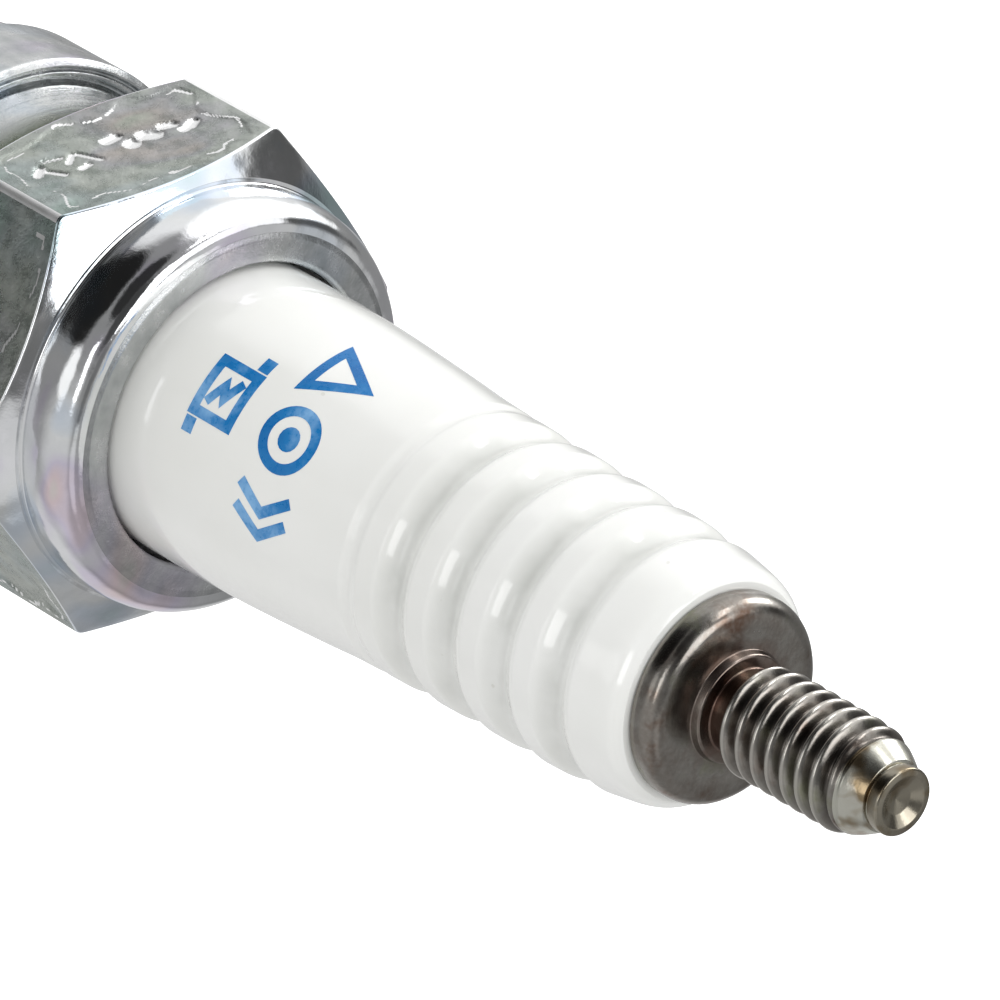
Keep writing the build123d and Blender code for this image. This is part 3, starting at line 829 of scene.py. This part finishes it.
def inside_panel(flat, along, z):
    """Distance inside the wandering edge of the forged panel on a flat."""
    wander = noise.noise(Vector((along * 0.8, z * 0.8, flat * 9.1))) * PANEL_WANDER
    return min(PANEL_HALF_LENGTH - abs(along), PANEL_HALF_HEIGHT - abs(z - PANEL_MIDDLE)) + wander


def flat_dent(flat, along, z):
    """Inward depth, in millimetres, of the forged panel and marks on a flat."""
    depth = PANEL_DEPTH * smoothstep(-PANEL_WALL, PANEL_WALL, inside_panel(flat, along, z))
    depth += FLAT_WAVE * noise.noise(Vector((along * 1.5, z * 1.5, flat * 5.3)))
    if flat == MARKED_FLAT:
        depth += STAMP_DEPTH * stamp_depth(along, z)
    return depth


def flat_zone(flat, along, z):
    """Bright metal in the marks, along parts of the panel's edge and on the corners."""
    if along is None:
        return EDGE
    if flat == MARKED_FLAT and stamp_depth(along, z) > MARK_SHARE:
        return MARK
    worn = noise.noise(Vector((along * 1.1, z * 1.1, flat * 3.7))) > WORN_SHARE
    return MARK if worn and abs(inside_panel(flat, along, z)) < WORN_HALF_WIDTH else FLAT


def stretches(outline):
    """The numbered stretches of a closed outline, each as its two ends."""
    return enumerate(zip(outline, outline[1:] + outline[:1]))


def shell_divisions():
    """The number of parts in each stretch of the shell's outline, and the flat's stretch."""
    counts = []
    for index, ((r0, z0), (r1, z1)) in stretches(shell_outline(HEX_APOTHEM)):
        upright = abs(r1 - r0) < SAME and abs(r0 - HEX_APOTHEM) < SAME
        if upright and z1 - z0 > (HEX_TOP - HEX_BOTTOM) / 2:
            flat_index = index
            counts.append(FLAT_ROWS)
            continue
        seen = z0 > SEEN_ABOVE and r1 > SEEN_OUTSIDE
        longest = SEEN_STRETCH if seen else HIDDEN_STRETCH
        counts.append(max(1, math.ceil(math.hypot(r1 - r0, z1 - z0) / longest)))
    return counts, flat_index


def outline_zone(r, z):
    """Satin below the hexagon and on the lip's face, bright elsewhere."""
    on_lip = z > LIP_FACE_BOTTOM and r < LIP_FACE_RADIUS
    return SATIN if z < SATIN_TOP or on_lip else BRIGHT


def make_shell():
    counts, flat_index = shell_divisions()
    columns = hexagon_columns()
    grid = [[] for row in range(sum(counts))]
    for angle, radius, flat, along in columns:
        outline = shell_outline(radius)
        middle = math.radians(30 + 60 * flat)
        rows = iter(grid)
        for index, ((r0, z0), (r1, z1)) in stretches(outline):
            for step in range(counts[index]):
                share = step / counts[index]
                r, z = r0 + (r1 - r0) * share, z0 + (z1 - z0) * share
                depth = 0
                if index == flat_index and along is not None:
                    edge = smoothstep(0, 0.5, z - z0) * smoothstep(0, 0.5, z1 - z)
                    depth = flat_dent(flat, along, z) * edge * smoothstep(0, 0.4, 4.4 - abs(along))
                x = r * math.cos(angle) - depth * math.cos(middle)
                y = r * math.sin(angle) - depth * math.sin(middle)
                next(rows).append((x, y, z))
    for row in grid:
        row.append(row[0])

    zones = []
    outline = shell_outline(HEX_APOTHEM)
    for index, (r, z) in enumerate(outline):
        if index == flat_index:
            for step in range(FLAT_ROWS):
                height = z + (outline[index + 1][1] - z) * (step + 0.5) / FLAT_ROWS
                zones.append([flat_zone(flat, along, height) for angle, radius, flat, along in columns])
        else:
            zones += [outline_zone(r, z)] * counts[index]
    mesh = finish_mesh("shell_body", grid, True, zones)
    piece = add_piece("shell_body", mesh, SHELL_MATERIALS)
    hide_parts("shell")


# ---- Thread sleeve below the seat ----
SLEEVE_CREST, LEAD_IN_RADIUS = 5.0, 4.4
LEDGE_BORE, MOUTH_RADIUS = 2.9, 3.45
RUN_OUT_SLOPE = 1.75


def thread_form(depth, steps, sharpness):
    """Depths below the crest over one pitch, rounded at crest and root."""
    phases = [step / steps for step in range(steps)]
    return [(phase, depth * (0.5 - 0.5 * math.cos(TAU * phase)) ** sharpness) for phase in phases]


def make_thread_sleeve():
    before = rounded(
        (SHELL_BORE, RELIEF_END), (SHELL_BORE, -8.7, 0.1), (LEDGE_BORE, -9.3, 0.05),
        (LEDGE_BORE, -9.9, 0.05), (MOUTH_RADIUS, -10.45, 0.1), (MOUTH_RADIUS, THREAD_END, 0.1),
        (LEAD_IN_RADIUS, THREAD_END, 0.1), steps=4,
    )
    before = divided(before, 1.5)

    def core(z):
        """The crest's radius: a lead-in at the bottom and a run-out into the relief."""
        lead_in = LEAD_IN_RADIUS + 0.02 + (z - THREAD_END)
        return min(SLEEVE_CREST, lead_in, RELIEF_RADIUS + (RELIEF_END - z) * RUN_OUT_SLOPE)

    thread = {
        "low": THREAD_END + 0.02, "high": RELIEF_END, "pitch": 1.0, "form": thread_form(0.6, 16, 0.9),
        "start": 0.2, "core": core, "fade_low": 0.5, "fade_high": 0.9,
    }
    mesh = threaded("thread_sleeve", before, [], thread, True)
    piece = add_piece("thread_sleeve", mesh, (thread_plating,))
    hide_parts("shell")


# ---- Insulator ----
NOSE_TIP, NOSE_BORE, STEM_BORE = -20.5, 1.15, 1.55
NECK_OUTSIDE, BODY_RADIUS, BODY_TOP = 3.4, 6.1, 9.5
UNGLAZED_BELOW, UNGLAZED_INSIDE = -8, 3.3
INSULATOR_COLUMNS = 224
HEAD_CURVE = (
    # z, radius
    (HEAD_BOTTOM, 5.27), (19.9, 5.2), (23.5, 5.0), (26.0, 4.83), (31.0, 4.7), (36.6, 4.55),
    (38.3, 4.33), (39.05, 4.17), (39.42, 3.93),
)


def head_radius(z):
    """The insulator head's radius without its ribs: a smooth curve through HEAD_CURVE."""
    points = HEAD_CURVE
    index = 0
    while index < len(points) - 2 and z > points[index + 1][0]:
        index += 1

    def slope(i):
        low, high = points[max(i - 1, 0)], points[min(i + 1, len(points) - 1)]
        return (high[1] - low[1]) / (high[0] - low[0])

    (z0, r0), (z1, r1) = points[index], points[index + 1]
    span = z1 - z0
    t = (z - z0) / span
    start, end = slope(index) * span, slope(index + 1) * span
    return ((2 * t**3 - 3 * t**2 + 1) * r0 + (t**3 - 2 * t**2 + t) * start
            + (3 * t**2 - 2 * t**3) * r1 + (t**3 - t**2) * end)


def groove(z, centre, half_width, depth):
    share = min(abs(z - centre) / half_width, 1)
    return depth * (1 - share**GROOVE_SHARPNESS) ** 2


def ribbed_radius(z):
    radius = head_radius(z)
    for centre in RIB_GROOVES:
        radius -= groove(z, centre, RIB_HALF_WIDTH, RIB_DEPTH)
    return radius - groove(z, FINE_GROOVE, FINE_GROOVE_HALF_WIDTH, FINE_GROOVE_DEPTH)


def make_insulator():
    nose = rounded(
        (NOSE_BORE, NOSE_TIP, 0.08), (1.95, NOSE_TIP, 0.3), (2.5, -9.4, 0.4), (NECK_OUTSIDE, -8.5, 0.2),
        (NECK_OUTSIDE, 1.15, 0.3), (BODY_RADIUS, 3.0, 0.3), (BODY_RADIUS, BODY_TOP, 0.2),
        (HEAD_CURVE[0][1], BODY_TOP), steps=5,
    )
    nose = divided(nose, 1.2)
    head = []
    z = HEAD_BOTTOM
    while z < HEAD_CURVE_TOP:
        head.append((ribbed_radius(z), z))
        z += HEAD_STEP
    end_and_bore = rounded(
        (ribbed_radius(HEAD_CURVE_TOP), HEAD_CURVE_TOP), (3.8, HEAD_TOP, 0.06), (STEM_BORE, HEAD_TOP),
        (STEM_BORE, -7.2), (NOSE_BORE, -7.6),
    )
    outline = nose + head + end_and_bore[1:]
    zones = [int(z < UNGLAZED_BELOW and r < UNGLAZED_INSIDE) for r, z in outline]
    mesh = turned("insulator_body", outline, INSULATOR_COLUMNS, True, zones)
    piece = add_piece("insulator_body", mesh, (ceramic, chalk))
    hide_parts("insulator")


# ---- Printed marks on the insulator: plain symbols, no lettering ----
INK_LIFT = 0.010
INK_SECTION = ((1, -INK_LIFT), (1, INK_LIFT), (0, INK_LIFT * 1.3), (-1, INK_LIFT), (-1, -INK_LIFT))
LINE_HALF_WIDTH = 0.19
SYMBOL_ROW, FRAME_ROW = 22.85, 19.5
TRIANGLE_AT, RING_AT, CHEVRONS_AT, FRAME_AT = -137, -105, -74, -108


def ink_stroke(work, points, degrees, height, closed, half_width=LINE_HALF_WIDTH):
    """A raised line of ink along points (across, up) round the head, about a middle (degrees, height)."""
    middle = math.radians(degrees)
    stations = []
    count = len(points)
    for index, point in enumerate(points):
        here = Vector(point)
        before = Vector(points[index - 1]) if closed or index > 0 else None
        after = Vector(points[(index + 1) % count]) if closed or index < count - 1 else None
        into = (here - before).normalized() if before else (after - here).normalized()
        away = (after - here).normalized() if after else into
        side = Vector((-into.y - away.y, into.x + away.x)).normalized()
        reach = half_width / max(side.dot(Vector((-into.y, into.x))), 0.35)
        stations.append((here, side * reach))
    if closed:
        stations.append(stations[0])
    rings = []
    for (start, start_side), (end, end_side) in zip(stations, stations[1:]):
        parts = max(1, math.ceil((end - start).length / 0.15))
        for part in range(parts):
            share = part / parts
            rings.append((start.lerp(end, share), start_side.lerp(end_side, share)))
    if not closed:
        rings.append(stations[-1])
    loops = []
    for here, side in rings:
        loop = []
        for sign, lift in INK_SECTION:
            place = here + side * sign
            z = height + place.y
            radius = head_radius(z) + lift
            angle = middle + place.x / head_radius(z)
            loop.append(work.verts.new(Vector(around(radius, angle, z)) * MM))
        loops.append(loop)
    pairs = list(zip(loops, loops[1:]))
    if closed:
        pairs.append((loops[-1], loops[0]))
    for low, high in pairs:
        for side in range(5):
            other = (side + 1) % 5
            work.faces.new((low[side], low[other], high[other], high[side]))
    if not closed:
        work.faces.new(loops[0])
        work.faces.new(loops[-1][::-1])


def circle_points(radius, count):
    angles = [TAU * index / count for index in range(count)]
    return [(radius * math.cos(angle), radius * math.sin(angle)) for angle in angles]


def make_print():
    """A triangle, a ring with a dot and two chevrons in a row, and a framed spark nearer the crimp."""
    work = bmesh.new()
    ink_stroke(work, [(-1.0, -0.95), (1.0, -0.95), (0.0, 1.0)], TRIANGLE_AT, SYMBOL_ROW, True)
    ink_stroke(work, circle_points(1.02, 40), RING_AT, SYMBOL_ROW, True)
    ink_stroke(work, circle_points(0.22, 16), RING_AT, SYMBOL_ROW, True, 0.21)
    for shift in (-0.55, 0.25):
        chevron = [(shift - 0.3, -1.15), (shift + 0.45, 0.0), (shift - 0.3, 1.15)]
        ink_stroke(work, chevron, CHEVRONS_AT, SYMBOL_ROW, False)
    frame_corners = [(-0.95, -0.85), (0.95, -0.85), (0.95, 0.85), (-0.95, 0.85)]
    ink_stroke(work, frame_corners, FRAME_AT, FRAME_ROW, True)
    ink_stroke(work, [(-1.75, 0.75), (-1.2, 0.75)], FRAME_AT, FRAME_ROW, False, 0.24)
    ink_stroke(work, [(1.2, -0.75), (1.75, -0.75)], FRAME_AT, FRAME_ROW, False, 0.24)
    spark = [(-0.55, 0.5), (0.2, 0.12), (-0.2, -0.12), (0.55, -0.5)]
    ink_stroke(work, spark, FRAME_AT, FRAME_ROW, False, 0.17)
    mesh = mesh_from(work, "printed_marks")
    add_piece("printed_marks", mesh, (ink,))


# ---- Terminal stud ----
FLANGE_RADIUS = 3.6
STEM_BOTTOM, STEM_RADIUS = 6.0, 1.4
DISC_RADIUS = 1.17
DIMPLE_DEPTH = 0.36
CENTRE_RADIUS = 0.001                 # the outline's ends, close enough to the axis to be welded


def cone(z):
    """The crest's radius, constant up to CONE_START and then falling to the cone's end."""
    share = max((z - CONE_START) / (CONE_END - CONE_START), 0)
    return STUD_CREST - (STUD_CREST - CONE_END_RADIUS) * share**1.4


def stud_crest(z):
    """The thread's crest, rising out of the undercut and falling along the cone."""
    root = UNDERCUT_RADIUS + 0.02
    return min(root + (STUD_CREST - root) * smoothstep(0, 0.4, z - THREAD_LOW), cone(z))


def make_stud():
    before = rounded(
        (CENTRE_RADIUS, STEM_BOTTOM), (STEM_RADIUS, STEM_BOTTOM, 0.1), (STEM_RADIUS, HEAD_TOP),
        (FLANGE_RADIUS, HEAD_TOP, 0.14), (FLANGE_RADIUS, FLANGE_TOP, 0.60), (1.95, FLANGE_TOP, 0.05),
        (1.88, FLANGE_TOP + 0.32, 0.1), (1.45, FLANGE_TOP + 0.34, 0.08), (UNDERCUT_RADIUS, THREAD_LOW),
        steps=6,
    )
    before = divided(before[:-1], 0.5)
    slope = [(cone(THREAD_HIGH + step * 0.1), THREAD_HIGH + step * 0.1) for step in range(1, 12)
             if THREAD_HIGH + step * 0.1 < CONE_END - 0.05]
    end_disc = rounded(
        (1.3, CONE_END - 0.1), (CONE_END_RADIUS, CONE_END, 0.04), (1.10, CONE_END + 0.03, 0.02),
        (1.10, CONE_END + 0.09, 0.02), (DISC_RADIUS, CONE_END + 0.12, 0.04),
        (DISC_RADIUS, TIP_TOP - 0.02, 0.09), (0.90, TIP_TOP, 0.08), (0.5, TIP_TOP - 0.22, 0.2),
        (CENTRE_RADIUS, TIP_TOP - DIMPLE_DEPTH), steps=5,
    )[1:]
    after = divided(slope + end_disc, 0.12)
    thread = {
        "low": THREAD_LOW, "high": THREAD_HIGH, "pitch": 0.7, "form": thread_form(0.40, 16, 1.15),
        "start": 0.87, "core": stud_crest, "fade_low": 0.5, "fade_high": 0.5,
    }
    mesh = threaded("terminal_body", before, after, thread, False)
    piece = add_piece("terminal_body", mesh, (stud_finish,))
    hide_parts("terminal_stud")


# ---- Gasket: one sheet folded twice, in three leaves ----
SHEET = 0.4
GASKET_BORE = 4.75


def make_gasket():
    low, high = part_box("gasket")
    step = (high.z - low.z) / MM / 2 - SHEET / 2
    fold = step / 2
    leaves = [low.z / MM + SHEET / 2 + step * index for index in range(3)]
    inner, outer = GASKET_BORE + SHEET / 2 + fold, high.x / MM - SHEET / 2 - fold
    path = [(GASKET_BORE + 0.5, leaves[0])]

    def bend(centre_r, centre_z, sign):
        for index in range(9):
            turn = math.pi * (index / 8 - 0.5)
            path.append((centre_r + sign * fold * math.cos(turn), centre_z + fold * math.sin(turn)))

    bend(outer, leaves[0] + fold, 1)
    bend(inner, leaves[1] + fold, -1)
    path.append((high.x / MM - 0.15, leaves[2]))
    path = divided(path, 0.5)
    left, right = [], []
    for index, point in enumerate(path):
        here = Vector(point)
        behind, ahead = path[max(index - 1, 0)], path[min(index + 1, len(path) - 1)]
        along = (Vector(ahead) - Vector(behind)).normalized()
        side = Vector((-along.y, along.x)) * SHEET / 2
        left.append(tuple(here + side))
        right.append(tuple(here - side))
    outline = left + right[::-1]
    corners = {0, len(left) - 1, len(left), len(outline) - 1}
    outline = [(r, z, 0.08) if index in corners else (r, z) for index, (r, z) in enumerate(outline)]
    outline = rounded(*outline, steps=3)

    def ripple(r, angle):
        edge = smoothstep(5.8, 7.6, r)
        return r + 0.03 * edge * noise.noise(Vector(around(2, angle, 3.0)))

    mesh = turned("gasket_fold", outline, THREAD_COLUMNS, True, None, ripple)
    piece = add_piece("gasket_fold", mesh, (gasket_metal,), "gasket_ring")
    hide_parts("gasket")


# ---- Firing end ----
ELECTRODE_TIP, ELECTRODE_HEAD = -21.9, -5.9
STRAP_THICK, STRAP_WIDE = 1.2, 2.2
STRAP_BEND = 1.3                      # radius at the strap's mid-thickness
STRAP_CORNER = 0.25
STRAP_PARTS = 12
WELD_SWELL = 0.16                     # share by which the strap is thicker at its weld


def make_centre_electrode():
    outline = rounded(
        (CENTRE_RADIUS, ELECTRODE_TIP), (1.1, ELECTRODE_TIP, 0.1), (1.1, -7.62), (1.45, -7.3, 0.05),
        (1.45, ELECTRODE_HEAD, 0.05), (CENTRE_RADIUS, ELECTRODE_HEAD), steps=5,
    )
    mesh = turned("electrode_rod", divided(outline, 0.4), 72, False)
    piece = add_piece("electrode_rod", mesh, (electrode_metal,))
    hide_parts("centre_electrode")


def strap_section():
    """The strap's rounded section, as (through its thickness, across its width)."""
    section = []
    for quarter in range(4):
        for step in range(5):
            turn = math.radians(90) * (quarter + step / 4)
            through = (STRAP_THICK / 2 - STRAP_CORNER) * (1 if quarter in (0, 3) else -1)
            across = (STRAP_WIDE / 2 - STRAP_CORNER) * (1 if quarter in (0, 1) else -1)
            through += STRAP_CORNER * math.cos(turn)
            across += STRAP_CORNER * math.sin(turn)
            section.append((through, across))
    section.append(section[0])
    return section


def make_ground_electrode():
    """The strap: a rounded bar from a small weld on the shell's end, bent over the tip."""
    low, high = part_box("ground_electrode")
    middle_x = high.x / MM - STRAP_THICK / 2
    middle_z = low.z / MM + STRAP_THICK / 2
    bend_centre = Vector((middle_x - STRAP_BEND, 0, middle_z + STRAP_BEND))
    path = []
    for index in range(STRAP_PARTS + 1):
        z = THREAD_END + (bend_centre.z - THREAD_END) * index / STRAP_PARTS
        path.append((Vector((middle_x, 0, z)), Vector((1, 0, 0))))
    for index in range(1, STRAP_PARTS + 1):
        turn = math.radians(90) * index / STRAP_PARTS
        out = Vector((math.cos(turn), 0, -math.sin(turn)))
        path.append((bend_centre + out * STRAP_BEND, out))
    for index in range(1, 11):
        share = index / 10
        x = bend_centre.x * (1 - share) + low.x / MM * share
        path.append((Vector((x, 0, middle_z)), Vector((0, 0, -1))))
    section = strap_section()
    grid = []
    for index, (centre, out) in enumerate(path):
        swell = 1.0
        if index <= STRAP_PARTS:
            swell += WELD_SWELL * (1 - smoothstep(0, 0.35, THREAD_END - centre.z))
        if index == len(path) - 1:
            swell -= 0.06
        grid.append([centre + out * (a * swell) + Vector((0, b * swell, 0)) for a, b in section])
    first, last = path[0][0], path[-1][0]
    grid.insert(0, [first for point in section])
    grid.append([last for point in section])
    mesh = finish_mesh("ground_strap", grid, False)
    piece = add_piece("ground_strap", mesh, (electrode_metal,))
    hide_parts("ground_electrode")


def finish_hidden_parts():
    """Materials for the sealed parts, which keep their CAD meshes."""
    packing = plain_metal("packing_steel", (0.55, 0.55, 0.56), (0.36, 0.36, 0.37), 0.3, 0.45)
    talc = powder("talc", (0.84, 0.83, 0.80), (0.70, 0.69, 0.65), 0.85)
    copper = plain_metal("copper", (0.90, 0.50, 0.32), (0.68, 0.33, 0.20), 0.2, 0.38, DRAWN_ALONG_Z)
    glass = powder("seal_glass", (0.46, 0.33, 0.26), (0.20, 0.15, 0.13), 0.6)
    carbon = powder("resistor_mix", (0.16, 0.16, 0.16), (0.05, 0.05, 0.05), 0.75)
    finishes = {
        "seat_packing": packing, "lower_packing_ring": packing, "upper_packing_ring": packing,
        "talc_fill": talc, "copper_core": copper, "lower_glass_seal": glass, "upper_glass_seal": glass,
        "resistor": carbon,
    }
    for node, material in finishes.items():
        for material_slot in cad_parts[node].material_slots:
            material_slot.material = material


make_shell()
make_thread_sleeve()
make_insulator()
make_print()
make_stud()
make_gasket()
make_centre_electrode()
make_ground_electrode()
finish_hidden_parts()
